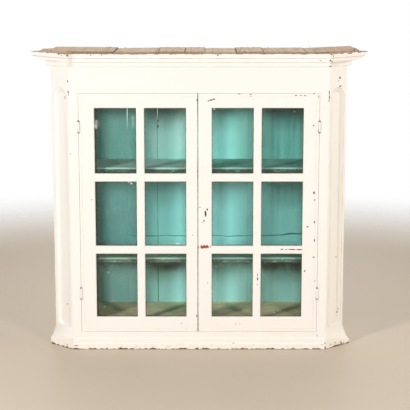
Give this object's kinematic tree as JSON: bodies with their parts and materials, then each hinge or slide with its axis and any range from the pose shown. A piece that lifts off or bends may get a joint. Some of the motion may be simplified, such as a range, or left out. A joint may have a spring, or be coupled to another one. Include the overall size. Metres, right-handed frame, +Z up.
{
  "type": "china cabinet",
  "caption": "Painted wooden china cabinet with glazed double doors, canted fluted corners, a small cornice, flared feet and shelves inside.",
  "frame": {"origin": "on the ground under the middle of the cabinet's box", "axes": "+X to the viewer's right across the front, +Y from the front to the back, +Z up"},
  "size_m": [1.169, 0.282, 1.039],
  "materials": {
    "outside_paint": "thick cream oil paint, chipped to dark wood",
    "inside_paint": "worn blue-green paint over boards",
    "floor_paint": "worn olive-grey paint",
    "bare_wood": "bare dusty old boards",
    "glass": "clear old window glass",
    "putty": "painted glazing putty",
    "hinge_metal": "steel butt hinges painted over, worn at the tips",
    "pin_steel": "dull steel",
    "lock_iron": "dark iron",
    "lock_brass": "tarnished brass"
  },
  "bodies": {
    "carcass": {"back_boards": "inside_paint", "base_rail": "outside_paint", "base_strip": "outside_paint", "bottom_board": "floor_paint", "cornice_front": "outside_paint", "door_stop": "inside_paint", "frieze_rail": "outside_paint", "left_base_corner": "outside_paint", "left_base_return": "outside_paint", "left_canted_corner": "outside_paint", "left_cornice_corner": "outside_paint", "left_cornice_return": "outside_paint", "left_face_stile": "outside_paint", "left_frame_leaves": "hinge_metal", "left_hinge_pins": "pin_steel", "left_side": "outside_paint", "lower_shelf": "inside_paint", "right_base_corner": "outside_paint", "right_base_return": "outside_paint", "right_canted_corner": "outside_paint", "right_cornice_corner": "outside_paint", "right_cornice_return": "outside_paint", "right_face_stile": "outside_paint", "right_frame_leaves": "hinge_metal", "right_hinge_pins": "pin_steel", "right_side": "outside_paint", "shelf_cleats": "inside_paint", "top_board_1": "bare_wood", "top_board_10": "bare_wood", "top_board_2": "bare_wood", "top_board_3": "bare_wood", "top_board_4": "bare_wood", "top_board_5": "bare_wood", "top_board_6": "bare_wood", "top_board_7": "bare_wood", "top_board_8": "bare_wood", "top_board_9": "bare_wood", "upper_shelf": "inside_paint"},
    "left_door": {"left_hinge_stile": "outside_paint", "left_meeting_stile": "outside_paint", "left_top_rail": "outside_paint", "left_bottom_rail": "outside_paint", "left_upright_bar": "outside_paint", "left_cross_bars": "outside_paint", "left_panes": "glass", "left_putty": "putty", "left_door_leaves": "hinge_metal", "lock_strike": "lock_brass"},
    "right_door": {"right_hinge_stile": "outside_paint", "right_meeting_stile": "outside_paint", "right_top_rail": "outside_paint", "right_bottom_rail": "outside_paint", "right_upright_bar": "outside_paint", "right_cross_bars": "outside_paint", "right_panes": "glass", "right_putty": "putty", "right_door_leaves": "hinge_metal", "lock_case": "lock_iron"},
    "lock_bolt": {"lock_bolt": "lock_brass"}
  },
  "joints": [
    {"name": "left_door_hinge", "type": "hinge", "parent": "carcass", "child": "left_door", "pos_m": [-0.4094, -0.1358, 0.48], "axis": [0, 0, -1], "range_deg": [0, 170]},
    {"name": "right_door_hinge", "type": "hinge", "parent": "carcass", "child": "right_door", "pos_m": [0.4094, -0.1358, 0.48], "axis": [0, 0, 1], "range_deg": [0, 170]},
    {"name": "lock_bolt_slide", "type": "slide", "parent": "right_door", "child": "lock_bolt", "axis": [-1, 0, 0], "range_m": [0, 0.008]}
  ]
}
